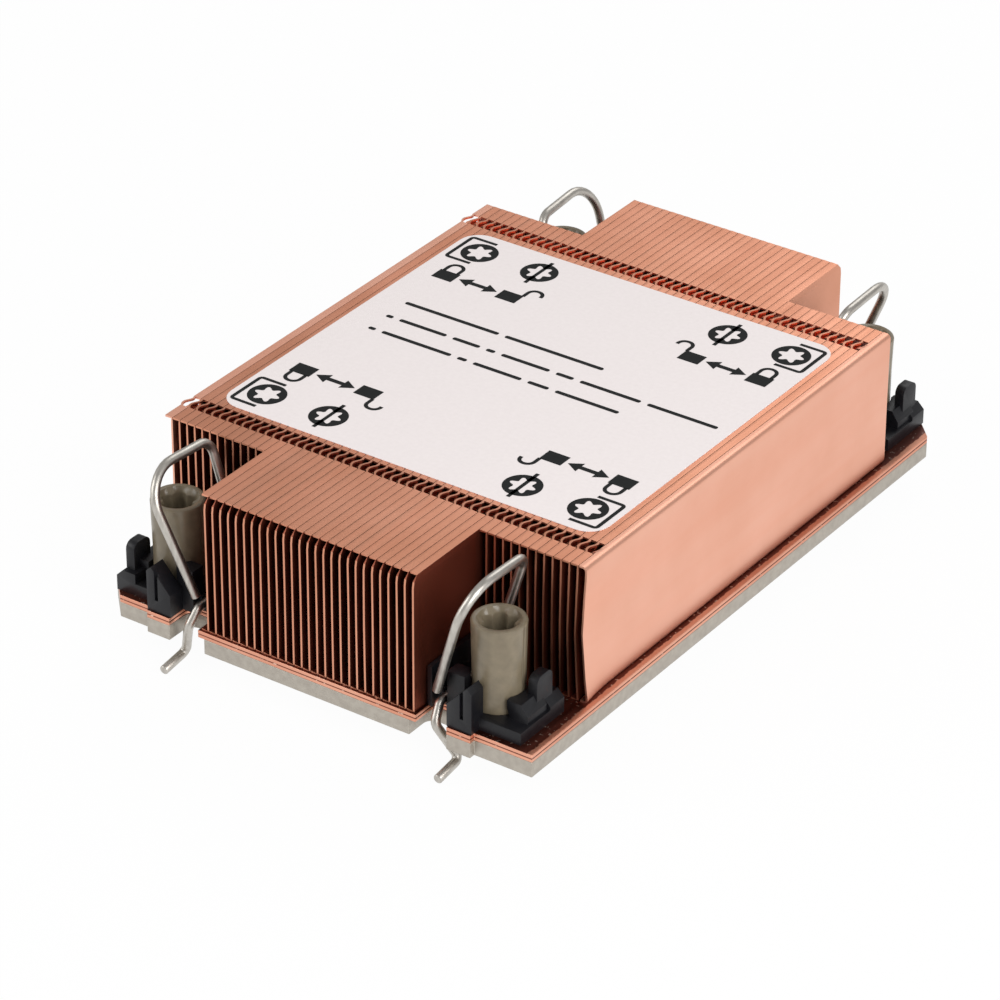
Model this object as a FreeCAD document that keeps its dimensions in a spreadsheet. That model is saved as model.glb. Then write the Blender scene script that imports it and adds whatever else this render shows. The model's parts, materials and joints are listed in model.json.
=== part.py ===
import FreeCAD, Part
import math
import os
import re
import Sketcher

# A passive server CPU heatsink: folded copper fins on a vapour chamber and a grey contact plate,
# with a captive nut, a plastic retainer and a spring-wire bail at each corner.
# X runs across the fins, Y along them, Z up. The origin is the middle of the contact face.
# Front is -Y and left is -X. Everything is in millimetres.

Vector = FreeCAD.Vector
document = FreeCAD.newDocument("heatsink")
sheet = document.addObject("Spreadsheet::Sheet", "sizes")

SIZES = {
    # the studs' pattern, which the base, the nuts, the bails and the retainers all follow
    "nut_at_wide": 28.0,
    "nut_at_long": 49.0,
    "stud_hole_radius": 3.25,
    # the base and its ends, measured from the nuts' axes
    "base_side": 10.0,
    "base_end": 7.48,
    "plate_thick": 2.45,
    "shell_thick": 0.61,
    "corner_step": 1.02,
    "corner_step_side": 0.36,
    "corner_chamfer_wide": 3.92,
    "corner_chamfer_long": 4.2,
    "notch_side": 3.69,
    "notch_inner": 2.59,
    "notch_round": 1.5,
    "shell_ledge": 0.4,
    "plate_inset": 1.08,
    # the folded fins
    "base_ledge": 1.3,
    "fin_pitch": 1.385,
    "fin_thick": 0.3,
    "fin_seam": 0.06,
    "fin_high": 22.11,
    "wing_clearance": 0.65,
    "tongue_clearance": 0.25,
    "tongue_inset": 0.38,
    "tongue_corner_cut": 1.7,
    "end_bend_radius": 0.7,
    # the interlocking tabs of the fins
    "row_front_inset": 5.15,
    "row_back_inset": 5.55,
    "tab_half_long": 0.8,
    "tab_drop": 0.9,
    "hook_gap": 0.15,
    "slot_end_clearance": 0.25,
    "slot_side_clearance": 0.7,
    "slot_floor_clearance": 0.05,
    # the label, inset from the block's sides and from the rows of tabs
    "label_side_inset": 3.6,
    "label_front_inset": 0.9,
    "label_back_inset": 1.7,
    "label_thick": 0.1,
    "label_round": 3.5,
    # the captive nuts
    "nut_lift": 0.23,
    "nut_high": 15.15,
    "nut_radius": 3.88,
    "nut_flange_ledge": 0.27,
    "nut_flange_thick": 1.0,
    "socket_core_radius": 2.15,
    "socket_lobe_radius": 0.72,
    "socket_tip_radius": 2.85,
    "socket_deep": 6.0,
    "thread_radius": 1.65,
    "thread_long": 5.0,
    # the wire bails, measured from the nut's axis along Y and from the hinge across it
    "wire_radius": 0.7,
    "wire_sides": 12,
    "bend_chord": 22.5,
    "hinge_side": 6.8,
    "bail_lean": 19.5,
    "bail_inboard": 7.1,
    "bail_outboard": 5.1,
    "bail_offset": 0.82,
    "bail_tip_gap": 2.0,
    "bail_high": 21.2,
    "bail_outboard_rise": 0.97,
    "bail_splay": 2.8,
    "bail_round_outboard": 5.2,
    "bail_round_inboard": 2.4,
    "bail_round_tight": 0.95,
    "bail_round_hook": 1.6,
    "journal_end": 4.6,
    "hook_elbow_out": 0.45,
    "hook_elbow_drop": 2.6,
    "hook_elbow_at": 6.4,
    "hook_heel_out": 2.94,
    "hook_heel_drop": 8.6,
    "hook_heel_at": 4.0,
    "hook_toe_drop": 9.3,
    "hook_toe_at": 9.2,
    # the plastic retainers, measured from the nut's axis and up from the base
    "seat_clearance": 0.05,
    "throat_squeeze": 0.1,
    "seat_lip": 0.72,
    "nut_clearance": 0.1,
    "nut_flange_play": 0.08,
    "retainer_thick": 1.96,
    "retainer_outer": 7.4,
    "retainer_inner": 3.5,
    "retainer_front": 5.4,
    "retainer_back": 5.2,
    "channel_floor": 0.78,
    "channel_half": 2.2,
    "channel_wall": 0.75,
    "channel_outer_gap": 1.45,
    "channel_wall_high": 3.33,
    "channel_front": 2.9,
    "channel_back_clearance": 0.18,
    "inner_wall_front": 4.4,
    "inner_wall_high": 6.53,
    "rib_long": 1.15,
    "post_at": 5.7,
    "post_wide": 2.9,
    "post_front": 4.3,
    "post_long": 2.5,
    "post_high": 6.83,
    "stop_at": 3.8,
    "stop_wide": 4.2,
    "stop_inset": 0.28,
    "stop_rear": 4.4,
    "stop_low": 3.63,
    "stop_high": 7.33,
    "stop_nose": 0.8,
    "groove_at": 1.6,
    "groove_wide": 0.6,
    "groove_deep": 0.5,
    "rest_rear": 4.4,
    "rest_high": 5.33,
    "snap_at": 4.5,
    "snap_wide": 2.4,
    "snap_lean": 1.1,
    "snap_high": 4.73,
    "snap_front": 3.0,
    "snap_back": 1.6,
    "tab_at": 4.9,
    "tab_thick": 1.5,
    "tab_high": 7.73,
    "tab_wide": 3.7,
    "tab_round": 1.2,
    "inboard_tab_at": 0.0,
    "outboard_tab_at": 0.6,
    "corner_block": 3.4,
    "corner_block_high": 3.53,
    "corner_block_cut": 1.1,
}

# Heights and places that other pieces share, worked out from the sizes above.
WORKED_OUT = {
    "base_half_wide": "nut_at_wide + base_side",
    "base_half_long": "nut_at_long + base_end",
    "base_top": "plate_thick + 2 * shell_thick",
    "corner_half_long": "base_half_long - corner_step",
    "corner_step_at": "nut_at_wide + corner_step_side",
    "notch_outer": "nut_at_wide - notch_side",
    "notch_end": "nut_at_long + notch_inner",
    "block_half_wide": "base_half_wide - base_ledge",
    "fin_count": "round(2 * block_half_wide / fin_pitch)",
    "fin_first": "fin_count * fin_pitch / 2",
    "fin_top": "base_top + fin_high",
    "channel_inner": "hinge_side + channel_half",
    "wing_count": "ceil((fin_first - nut_at_wide + channel_inner + tongue_clearance) / fin_pitch)",
    "tongue_half_wide": "fin_first - wing_count * fin_pitch",
    "shell_tongue_half": "tongue_half_wide + shell_ledge",
    "plate_tongue_half": "shell_tongue_half - plate_inset",
    "wing_half_long": "nut_at_long - bail_inboard - wire_radius - wing_clearance",
    "tongue_half_long": "base_half_long - tongue_inset",
    "tongue_flange_half": "tongue_half_long - tongue_corner_cut",
    "tab_reach": "2 * fin_thick + hook_gap",
    "slot_wide": "tab_reach + slot_end_clearance",
    "slot_half_long": "tab_half_long + slot_side_clearance",
    "slot_deep": "tab_drop + slot_floor_clearance",
    "row_front": "wing_half_long - row_front_inset",
    "row_back": "wing_half_long - row_back_inset",
    "label_half_wide": "block_half_wide - label_side_inset",
    "label_front": "row_front - slot_half_long - label_front_inset",
    "label_back": "row_back - slot_half_long - label_back_inset",
    "nut_low": "base_top + nut_lift",
    "nut_top": "nut_low + nut_high",
    "nut_flange_radius": "nut_radius + nut_flange_ledge",
    "retainer_top": "base_top + retainer_thick",
    "channel_low": "base_top + channel_floor",
    "channel_back": "bail_inboard - wire_radius - channel_back_clearance",
    "stop_front": "base_end - stop_inset",
    "seat_radius": "wire_radius + seat_clearance",
    "throat_half": "wire_radius - throat_squeeze",
    "hinge_high": "channel_low + seat_radius",
}


def bound_text(text):
    """An expression in the sheet's names, with each name given its sheet."""
    return re.sub(r"[a-z]\w*_\w+", r"sizes.\g<0>", text)


def fill_sheet():
    for row, (name, value) in enumerate(SIZES.items(), 1):
        sheet.set(f"A{row}", name.replace("_", " "))
        sheet.set(f"B{row}", str(value))
        sheet.setAlias(f"B{row}", name)
    for row, (name, text) in enumerate(WORKED_OUT.items(), len(SIZES) + 1):
        sheet.set(f"A{row}", name.replace("_", " "))
        sheet.set(f"B{row}", "=" + text)
        sheet.setAlias(f"B{row}", name)
    document.recompute()


def size(name):
    """The sheet's present number for one name."""
    return float(sheet.get(name))


def bind(item, prop, text):
    item.setExpression(prop, bound_text(text))


def total(text):
    """The number that a plain sum of names gives, such as "base_half_wide - corner_step"."""
    sign = 1.0
    result = 0.0
    for word in text.split():
        if word in "+-":
            sign = 1.0 if word == "+" else -1.0
        else:
            result += sign * (size(word) if word[0].isalpha() else float(word))
            sign = 1.0
    return result


# ---------------------------------------------------------------- plain solids

def place(item, x, y, z):
    for axis, text in zip("xyz", (x, y, z)):
        bind(item, "Placement.Base." + axis, text)
    return item


def box(name, x, y, z):
    """A box between a low and a high plane on each axis."""
    item = document.addObject("Part::Box", name)
    for side, (low, high) in zip(("Length", "Width", "Height"), (x, y, z)):
        bind(item, side, f"({high}) - ({low})")
    return place(item, x[0], y[0], z[0])


def post(name, x, y, z, radius):
    """A round bar standing along Z."""
    item = document.addObject("Part::Cylinder", name)
    bind(item, "Radius", radius)
    bind(item, "Height", f"({z[1]}) - ({z[0]})")
    return place(item, x, y, z[0])


def bar(name, x, y, z, radius, axis):
    """A round bar lying along X or Y, where that axis is given as a low and a high plane."""
    item = document.addObject("Part::Cylinder", name)
    turn = (Vector(0, 1, 0), 90) if axis == "x" else (Vector(1, 0, 0), -90)
    item.Placement = FreeCAD.Placement(Vector(), FreeCAD.Rotation(*turn))
    low, high = x if axis == "x" else y
    bind(item, "Radius", radius)
    bind(item, "Height", f"({high}) - ({low})")
    return place(item, low if axis == "x" else x, low if axis == "y" else y, z)


def fuse(name, pieces):
    item = document.addObject("Part::MultiFuse", name)
    item.Shapes = pieces
    item.Refine = True
    return item


def cut(name, base, tool):
    item = document.addObject("Part::Cut", name)
    item.Base = base
    item.Tool = tool
    item.Refine = True
    return item


def tie_outline(sketch, points):
    """Closes a polygon through points whose places are sums of the sheet's names."""
    corners = [Vector(total(x), total(y), 0) for x, y in points]
    count = len(corners)
    for index, corner in enumerate(corners):
        sketch.addGeometry(Part.LineSegment(corner, corners[(index + 1) % count]))
    for index in range(count):
        sketch.addConstraint(Sketcher.Constraint("Coincident", index, 2, (index + 1) % count, 1))
    for index, (x, y) in enumerate(points):
        for kind, text in (("DistanceX", x), ("DistanceY", y)):
            row = sketch.addConstraint(Sketcher.Constraint(kind, -1, 1, index, 1, total(text)))
            sketch.setExpression(f"Constraints[{row}]", bound_text(text))


def prism(name, points, y):
    """A solid with the same outline in XZ from one Y plane to another."""
    sketch = document.addObject("Sketcher::SketchObject", name + "_outline")
    tie_outline(sketch, points)
    sketch.Placement = FreeCAD.Placement(Vector(), FreeCAD.Rotation(Vector(1, 0, 0), 90))
    item = document.addObject("Part::Extrusion", name)
    item.Base = sketch
    item.DirMode = "Custom"
    item.Dir = Vector(0, 1, 0)
    item.Solid = True
    bind(item, "LengthFwd", f"({y[1]}) - ({y[0]})")
    bind(item, "Placement.Base.y", y[0])
    return item


# ---------------------------------------------------------------- design bodies

def new_body(name):
    body = document.addObject("PartDesign::Body", name)
    return body


def origin_plane(body, role):
    return next(item for item in body.Origin.OriginFeatures if item.Role == role)


def new_sketch(body, name, role, lift=None):
    sketch = body.newObject("Sketcher::SketchObject", name)
    sketch.AttachmentSupport = [(origin_plane(body, role), "")]
    sketch.MapMode = "FlatFace"
    if lift:
        bind(sketch, "AttachmentOffset.Base.z", lift)
    return sketch


def pad(body, sketch, length):
    item = body.newObject("PartDesign::Pad", sketch.Name + "_pad")
    item.Profile = sketch
    bind(item, "Length", length)
    document.recompute()
    return item


def pocket(body, sketch, length=None, upward=False):
    item = body.newObject("PartDesign::Pocket", sketch.Name + "_pocket")
    item.Profile = sketch
    item.Reversed = upward
    if length:
        bind(item, "Length", length)
    else:
        item.Type = "ThroughAll"
    volume = body.Shape.Volume
    document.recompute()
    if body.Shape.Volume >= volume:
        raise RuntimeError(sketch.Name + " cuts nothing")
    return item


def round_edges(body, name, chosen, radius):
    """Rounds the upright edges whose middles the chosen test accepts."""
    names = []
    for index, edge in enumerate(body.Shape.Edges, 1):
        low = edge.Vertexes[0].Point
        high = edge.Vertexes[-1].Point
        upright = abs(low.x - high.x) < 1e-6 and abs(low.y - high.y) < 1e-6
        if upright and chosen(low.x, low.y):
            names.append(f"Edge{index}")
    solid = body.Tip
    item = body.newObject("PartDesign::Fillet", name)
    item.Base = (solid, names)
    bind(item, "Radius", radius)
    document.recompute()
    return item


def add_circles(sketch, centres, radius):
    """Circles whose centres are pairs of sums of the sheet's names."""
    for x, y in centres:
        circle = sketch.addGeometry(Part.Circle(Vector(total(x), total(y), 0), Vector(0, 0, 1), size(radius)))
        for kind, text in (("DistanceX", x), ("DistanceY", y)):
            row = sketch.addConstraint(Sketcher.Constraint(kind, -1, 1, circle, 3, total(text)))
            sketch.setExpression(f"Constraints[{row}]", bound_text(text))
        row = sketch.addConstraint(Sketcher.Constraint("Radius", circle, size(radius)))
        sketch.setExpression(f"Constraints[{row}]", bound_text(radius))


# ---------------------------------------------------------------- the base

def base_outline(tongue_half):
    """The stepped and notched outline, with chamfers at the front-left and back-right corners."""
    half = [
        ("- base_half_wide", "- corner_half_long + corner_chamfer_long"),
        ("- base_half_wide + corner_chamfer_wide", "- corner_half_long"),
        ("- corner_step_at", "- corner_half_long"),
        ("- corner_step_at", "- base_half_long"),
        ("- notch_outer", "- base_half_long"),
        ("- notch_outer", "- notch_end"),
        (f"- {tongue_half}", "- notch_end"),
        (f"- {tongue_half}", "- base_half_long"),
        (tongue_half, "- base_half_long"),
        (tongue_half, "- notch_end"),
        ("notch_outer", "- notch_end"),
        ("notch_outer", "- base_half_long"),
        ("corner_step_at", "- base_half_long"),
        ("corner_step_at", "- corner_half_long"),
        ("base_half_wide", "- corner_half_long"),
    ]

    def turned(text):
        swapped = text if text[0] in "+-" else "+ " + text
        return swapped.replace("+", "#").replace("-", "+").replace("#", "-")

    return half + [(turned(x), turned(y)) for x, y in half]


def base_layer(name, low, thick, tongue_half):
    body = new_body(name)
    outline = new_sketch(body, name + "_outline", "XY_Plane", low)
    tie_outline(outline, base_outline(tongue_half))
    pad(body, outline, thick)
    notch_end = total("notch_end")
    round_edges(body, name + "_notches", lambda x, y: abs(abs(y) - notch_end) < 1e-6, "notch_round")
    holes = new_sketch(body, name + "_holes", "XY_Plane", low)
    centres = [(x, y) for x in ("- nut_at_wide", "nut_at_wide") for y in ("- nut_at_long", "nut_at_long")]
    add_circles(holes, centres, "stud_hole_radius")
    pocket(body, holes, upward=True)
    return body


# ---------------------------------------------------------------- the folded fins

def interlock(name, high_plane, row):
    """The slot that a fin has for its right neighbour's tab, as a cutter, in one row."""
    return box(name, ("- slot_wide", "0.1"), (f"{row} - slot_half_long", f"{row} + slot_half_long"),
               (f"{high_plane} - slot_deep", f"{high_plane} + 0.1"))


def tab(name, row):
    """The tab that crosses the left neighbour's sheet and hooks down behind it."""
    end = "- fin_pitch - tab_reach"
    across = box(name + "_across", (end, "- fin_pitch + 2 * fin_seam"),
                 (f"{row} - tab_half_long", f"{row} + tab_half_long"), ("fin_top - fin_thick", "fin_top"))
    hook = box(name + "_hook", (end, end + " + fin_thick"),
               (f"{row} - tab_half_long", f"{row} + tab_half_long"), ("fin_top - tab_drop", "fin_top"))
    return [across, hook]


def flanges(name, half_long, inner):
    """The top and bottom folds of one fin, from its own sheet to just short of the next."""
    reach = ("- fin_pitch + fin_seam", inner)
    along = (f"- {half_long}", half_long)
    return [box(name + "_top", reach, along, ("fin_top - fin_thick", "fin_top")),
            box(name + "_foot", ("- fin_pitch + fin_seam", "- fin_thick"), along,
                ("base_top", "base_top + fin_thick"))]


def short_sheet(name):
    return [box(name + "_sheet", ("- fin_thick", "0"), ("- wing_half_long", "wing_half_long"),
                ("base_top", "fin_top"))]


def long_sheet(name):
    """A long fin's sheet: one outline in YZ with its two upper corners cut off."""
    shoulder = "fin_top - tongue_corner_cut"
    outline = [("- tongue_half_long", "base_top"), ("tongue_half_long", "base_top"),
               ("tongue_half_long", shoulder), ("tongue_flange_half", "fin_top"),
               ("- tongue_flange_half", "fin_top"), ("- tongue_half_long", shoulder)]
    sketch = document.addObject("Sketcher::SketchObject", name + "_outline")
    tie_outline(sketch, outline)
    sketch.Placement = FreeCAD.Placement(Vector(), FreeCAD.Rotation(Vector(1, 1, 1), 120))
    item = document.addObject("Part::Extrusion", name + "_sheet")
    item.Base = sketch
    item.DirMode = "Custom"
    item.Dir = Vector(-1, 0, 0)
    item.Solid = True
    bind(item, "LengthFwd", "fin_thick")
    return [item]


def bent_sheet(name):
    """The right side sheet, whose top edge is a round bend instead of a fold."""
    along = ("- wing_half_long", "wing_half_long")
    sheet_box = box(name + "_sheet", ("- fin_thick", "0"), along, ("base_top", "fin_top - end_bend_radius"))
    outer = bar(name + "_bend", "- end_bend_radius", along, "fin_top - end_bend_radius", "end_bend_radius", "y")
    inner = bar(name + "_hollow", "- end_bend_radius", along, "fin_top - end_bend_radius",
                "end_bend_radius - fin_thick", "y")
    ring = cut(name + "_ring", outer, inner)
    below = box(name + "_below", ("- 2 * end_bend_radius", "0"), along,
                ("fin_top - 2 * end_bend_radius", "fin_top - end_bend_radius"))
    left = box(name + "_left", ("- 2 * end_bend_radius", "- end_bend_radius"), along,
               ("fin_top - end_bend_radius", "fin_top"))
    quarter = cut(name + "_quarter", ring, fuse(name + "_trim", [below, left]))
    return [sheet_box, quarter]


def fin(name, pieces, flange_half, inner="- fin_thick", slots=True, tabs=True):
    rows = (("front", "- row_front"), ("back", "row_back"))
    pieces = pieces + flanges(name, flange_half, inner)
    if tabs:
        for side, row in rows:
            pieces += tab(f"{name}_tab_{side}", row)
    whole = fuse(name + "_whole", pieces)
    if not slots:
        return whole
    cutters = [interlock(f"{name}_slot_{side}", "fin_top", row) for side, row in rows]
    return cut(name + "_slotted", whole, fuse(name + "_slots", cutters))


def fin_row(name, master, first, last):
    """Copies of one fin, a pitch apart, as separate solids of one group."""
    links = []
    for index in range(first, last + 1):
        link = document.addObject("App::Link", f"{name}_{index:02d}")
        link.LinkedObject = master
        bind(link, "Placement.Base.x", f"fin_first - {index} * fin_pitch")
        links.append(link)
    group = document.addObject("Part::Compound", name)
    group.Links = links
    return group


def fin_groups():
    wing = round(size("wing_count"))
    last = round(size("fin_count")) - 1
    short_fin = fin("short_fin", short_sheet("short_fin"), "wing_half_long")
    long_fin = fin("long_fin", long_sheet("long_fin"), "tongue_flange_half")
    left_fin = fin("left_fin", short_sheet("left_fin"), "wing_half_long", tabs=False)
    right_fin = fin("right_fin", bent_sheet("right_fin"), "wing_half_long", "- end_bend_radius", slots=False)
    return {
        "end_fin_right": fin_row("end_fin_right", right_fin, 0, 0),
        "fins_right_wing": fin_row("fins_right_wing", short_fin, 1, wing - 1),
        "fins_tongue": fin_row("fins_tongue", long_fin, wing, last - wing),
        "fins_left_wing": fin_row("fins_left_wing", short_fin, last - wing + 1, last - 1),
        "end_fin_left": fin_row("end_fin_left", left_fin, last, last),
    }


# ---------------------------------------------------------------- the label

def label_sheet(name):
    body = new_body(name)
    outline = new_sketch(body, name + "_outline", "XY_Plane", "fin_top")
    tie_outline(outline, [("- label_half_wide", "- label_front"), ("label_half_wide", "- label_front"),
                          ("label_half_wide", "label_back"), ("- label_half_wide", "label_back")])
    pad(body, outline, "label_thick")
    round_edges(body, name + "_corners", lambda x, y: True, "label_round")
    return body


# ---------------------------------------------------------------- the captive nuts

def nut(name, x, y):
    """A turned nut: a flange and a barrel, a thread from below and a six-lobe socket."""
    body = new_body(name)
    profile = new_sketch(body, name + "_profile", "XZ_Plane")
    tie_outline(profile, [
        ("0", "nut_low"),
        ("nut_flange_radius", "nut_low"),
        ("nut_flange_radius", "nut_low + nut_flange_thick"),
        ("nut_radius", "nut_low + nut_flange_thick"),
        ("nut_radius", "nut_top"),
        ("0", "nut_top"),
    ])
    turned = body.newObject("PartDesign::Revolution", name + "_turned")
    turned.Profile = profile
    turned.ReferenceAxis = (profile, ["V_Axis"])
    turned.Angle = 360
    document.recompute()
    bore = new_sketch(body, name + "_bore", "XY_Plane", "nut_low")
    add_circles(bore, [("0", "0")], "thread_radius")
    pocket(body, bore, "thread_long", upward=True)
    core = new_sketch(body, name + "_core", "XY_Plane", "nut_top")
    add_circles(core, [("0", "0")], "socket_core_radius")
    pocket(body, core, "socket_deep")
    lobe = new_sketch(body, name + "_lobe", "XY_Plane", "nut_top")
    add_circles(lobe, [("socket_tip_radius - socket_lobe_radius", "0")], "socket_lobe_radius")
    lobes = body.newObject("PartDesign::PolarPattern", name + "_lobes")
    lobes.Originals = [pocket(body, lobe, "socket_deep")]
    lobes.Axis = (lobe, ["N_Axis"])
    lobes.Angle = 360
    lobes.Occurrences = 6
    body.Tip = lobes
    bind(body, "Placement.Base.x", x)
    bind(body, "Placement.Base.y", y)
    document.recompute()
    return body


# ---------------------------------------------------------------- the wire bails

def bent_path(points, radii):
    """Straight runs through the points, with a tangent bend of the given radius at each inner one.
    A bend is drawn as chords, so that the wire's sides stay flat and few."""
    corners = [points[0]]
    for corner, before, after, radius in zip(points[1:], points, points[2:], radii):
        back = (before - corner).normalize()
        ahead = (after - corner).normalize()
        turn = math.pi - back.getAngle(ahead)
        centre = corner + (back + ahead).normalize() * (radius / math.cos(turn / 2))
        enter = corner + back * (radius * math.tan(turn / 2)) - centre
        chords = math.ceil(math.degrees(turn) / size("bend_chord"))
        for step in range(chords + 1):
            swing = FreeCAD.Rotation(ahead.cross(back), math.degrees(turn) * step / chords)
            corners.append(centre + swing.multVec(enter))
    return Part.makePolygon(corners + [points[-1]])


def bail_points():
    """The front-right bail's corners, with the handle leaning outward from its hinge."""
    lean = math.radians(size("bail_lean"))
    hinge = Vector(size("nut_at_wide") - size("hinge_side"), -size("nut_at_long"), size("hinge_high"))

    def handle(out, along, inboard):
        return hinge + Vector(out * math.cos(lean) + along * math.sin(lean), inboard,
                              along * math.cos(lean) - out * math.sin(lean))

    offset = -size("bail_offset")
    inboard = size("bail_inboard")
    outboard = size("bail_outboard")
    high = size("bail_high")
    return [
        handle(offset, size("bail_tip_gap"), -outboard),
        handle(offset, high + size("bail_outboard_rise"), -outboard - size("bail_splay")),
        handle(offset, high, inboard),
        handle(0, 0, inboard),
        hinge + Vector(0, -size("journal_end"), 0),
        hinge + Vector(size("hook_elbow_out"), -size("hook_elbow_at"), -size("hook_elbow_drop")),
        hinge + Vector(size("hook_heel_out"), -size("hook_heel_at"), -size("hook_heel_drop")),
        hinge + Vector(size("hook_heel_out"), -size("hook_toe_at"), -size("hook_toe_drop")),
    ]


def wire_bail(name):
    """The front-right bail: a wire swept along its bends."""
    points = bail_points()
    bends = ("outboard", "inboard", "tight", "tight", "hook", "tight")
    radii = [size("bail_round_" + bend) for bend in bends]
    path = document.addObject("Part::Feature", name + "_path")
    path.Shape = bent_path(points, radii)
    section = document.addObject("Part::RegularPolygon", name + "_section")
    bind(section, "Polygon", "wire_sides")
    bind(section, "Circumradius", "wire_radius")
    section.Placement = FreeCAD.Placement(points[0], FreeCAD.Rotation(Vector(0, 0, 1), points[1] - points[0]))
    item = document.addObject("Part::Sweep", name)
    item.Sections = [section]
    item.Spine = (path, [f"Edge{index}" for index in range(1, len(path.Shape.Edges) + 1)])
    item.Solid = True
    item.Frenet = False
    item.Transition = "Right corner"
    document.recompute()
    return item


# ---------------------------------------------------------------- the plastic retainers

def seat_rib(name, y):
    """A rib that holds the bail's journal in a round seat with a narrow throat."""
    rib = box(name, ("- channel_inner + channel_wall", "- hinge_side + channel_outer_gap"), y,
              ("channel_low", "hinge_high + seat_lip"))
    cut_along = (f"{y[0]} - 0.1", f"{y[1]} + 0.1")
    seat = bar(name + "_seat", "- hinge_side", cut_along, "hinge_high", "seat_radius", "y")
    throat = box(name + "_throat", ("- hinge_side - throat_half", "- hinge_side + throat_half"), cut_along,
                 ("hinge_high", "hinge_high + seat_lip + 0.1"))
    return cut(name + "_open", rib, fuse(name + "_gap", [seat, throat]))


def retainer_body(name):
    """What both kinds of retainer share: nut plate, bail channel, ribs, stops and snap.
    Like all of a retainer it is drawn about the front-right nut's axis."""
    plate = box(name + "_plate", ("- retainer_inner", "retainer_outer"), ("- retainer_front", "retainer_back"),
                ("base_top", "retainer_top"))
    floor = box(name + "_floor", ("- channel_inner", "- retainer_inner"), ("- channel_front", "channel_back"),
                ("base_top", "channel_low"))
    inner_wall = box(name + "_inner_wall", ("- channel_inner", "- channel_inner + channel_wall"),
                     ("- inner_wall_front", "channel_back"), ("base_top", "base_top + inner_wall_high"))
    outer_wall = box(name + "_outer_wall", ("- hinge_side + channel_outer_gap", "- retainer_inner"),
                     ("- channel_front", "channel_back"), ("base_top", "base_top + channel_wall_high"))
    upright = box(name + "_upright", ("- post_at", "- post_at + post_wide"),
                  ("- post_front", "- post_front + post_long"), ("base_top", "base_top + post_high"))
    ramp = [("- stop_at", "base_top"), ("- stop_at + stop_wide", "base_top")]
    foot = [("- stop_at", "base_top + stop_low")]
    stop_nose = [("- stop_at + stop_wide", "base_top + stop_high - stop_nose"),
                 ("- stop_at + stop_wide - stop_nose", "base_top + stop_high")]
    rest_nose = [("- stop_at + stop_wide", "base_top + rest_high - stop_nose"),
                 ("- stop_at + stop_wide - stop_nose", "base_top + rest_high")]
    stop = prism(name + "_stop", ramp + stop_nose + foot, ("- stop_front", "- stop_rear"))
    rest = prism(name + "_rest", ramp + rest_nose + foot, ("rest_rear", "channel_back"))
    groove = box(name + "_groove", ("- groove_at", "- groove_at + groove_wide"),
                 ("- stop_front - 0.1", "- stop_front + groove_deep"), ("retainer_top", "base_top + 2 * stop_high"))
    snap_points = [("snap_at", "base_top"), ("snap_at + snap_wide", "base_top"),
                   ("snap_at + snap_wide", "retainer_top + snap_lean"),
                   ("snap_at + snap_wide - snap_lean", "base_top + snap_high"),
                   ("snap_at - snap_lean", "base_top + snap_high"),
                   ("snap_at - snap_lean", "base_top + snap_high - snap_lean")]
    snap = prism(name + "_snap", snap_points, ("- snap_front", "snap_back"))
    ribs = [seat_rib(name + "_front_rib", ("- channel_front", "- channel_front + rib_long")),
            seat_rib(name + "_back_rib", ("channel_back - rib_long", "channel_back"))]
    return fuse(name + "_shared", [plate, floor, inner_wall, outer_wall, upright,
                                   cut(name + "_grooved", stop, groove), rest, snap] + ribs)


def retainer(name, shared, tab_low, block):
    """A front-right retainer whose tall tab and corner block stand towards one end."""
    thick = ("tab_at", "tab_at + tab_thick")
    near = f"{tab_low} + tab_round"
    far = f"{tab_low} + tab_wide - tab_round"
    upright = box(name + "_tab", thick, (tab_low, f"{tab_low} + tab_wide"),
                  ("base_top", "base_top + tab_high - tab_round"))
    crown = box(name + "_crown", thick, (near, far), ("base_top", "base_top + tab_high"))
    rounds = [bar(f"{name}_{side}", thick, y, "base_top + tab_high - tab_round", "tab_round", "x")
              for side, y in (("near", near), ("far", far))]
    block_points = [("retainer_outer - corner_block", "base_top"), ("retainer_outer", "base_top"),
                    ("retainer_outer", "base_top + corner_block_high - corner_block_cut"),
                    ("retainer_outer - corner_block_cut", "base_top + corner_block_high"),
                    ("retainer_outer - corner_block", "base_top + corner_block_high")]
    whole = fuse(name + "_whole", [shared, upright, crown, prism(name + "_block", block_points, block)] + rounds)
    flange_room = post(name + "_flange_room", "0", "0",
                       ("base_top - 0.1", "nut_low + nut_flange_thick + nut_flange_play"),
                       "nut_flange_radius + nut_flange_play")
    barrel_room = post(name + "_barrel_room", "0", "0", ("base_top", "nut_top"), "nut_radius + nut_clearance")
    item = cut(name, whole, fuse(name + "_rooms", [flange_room, barrel_room]))
    bind(item, "Placement.Base.x", "nut_at_wide")
    bind(item, "Placement.Base.y", "- nut_at_long")
    return item


# ---------------------------------------------------------------- corners

def flipped(name, source, across):
    """The same piece on the other side of the middle plane across X or Y."""
    item = document.addObject("Part::Mirroring", name)
    item.Source = source
    item.Normal = Vector(1, 0, 0) if across == "x" else Vector(0, 1, 0)
    return item


def turned_round(name, source):
    """The same piece turned half a turn about Z, at the opposite corner."""
    return flipped(name, flipped(name + "_half", source, "x"), "y")


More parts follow.
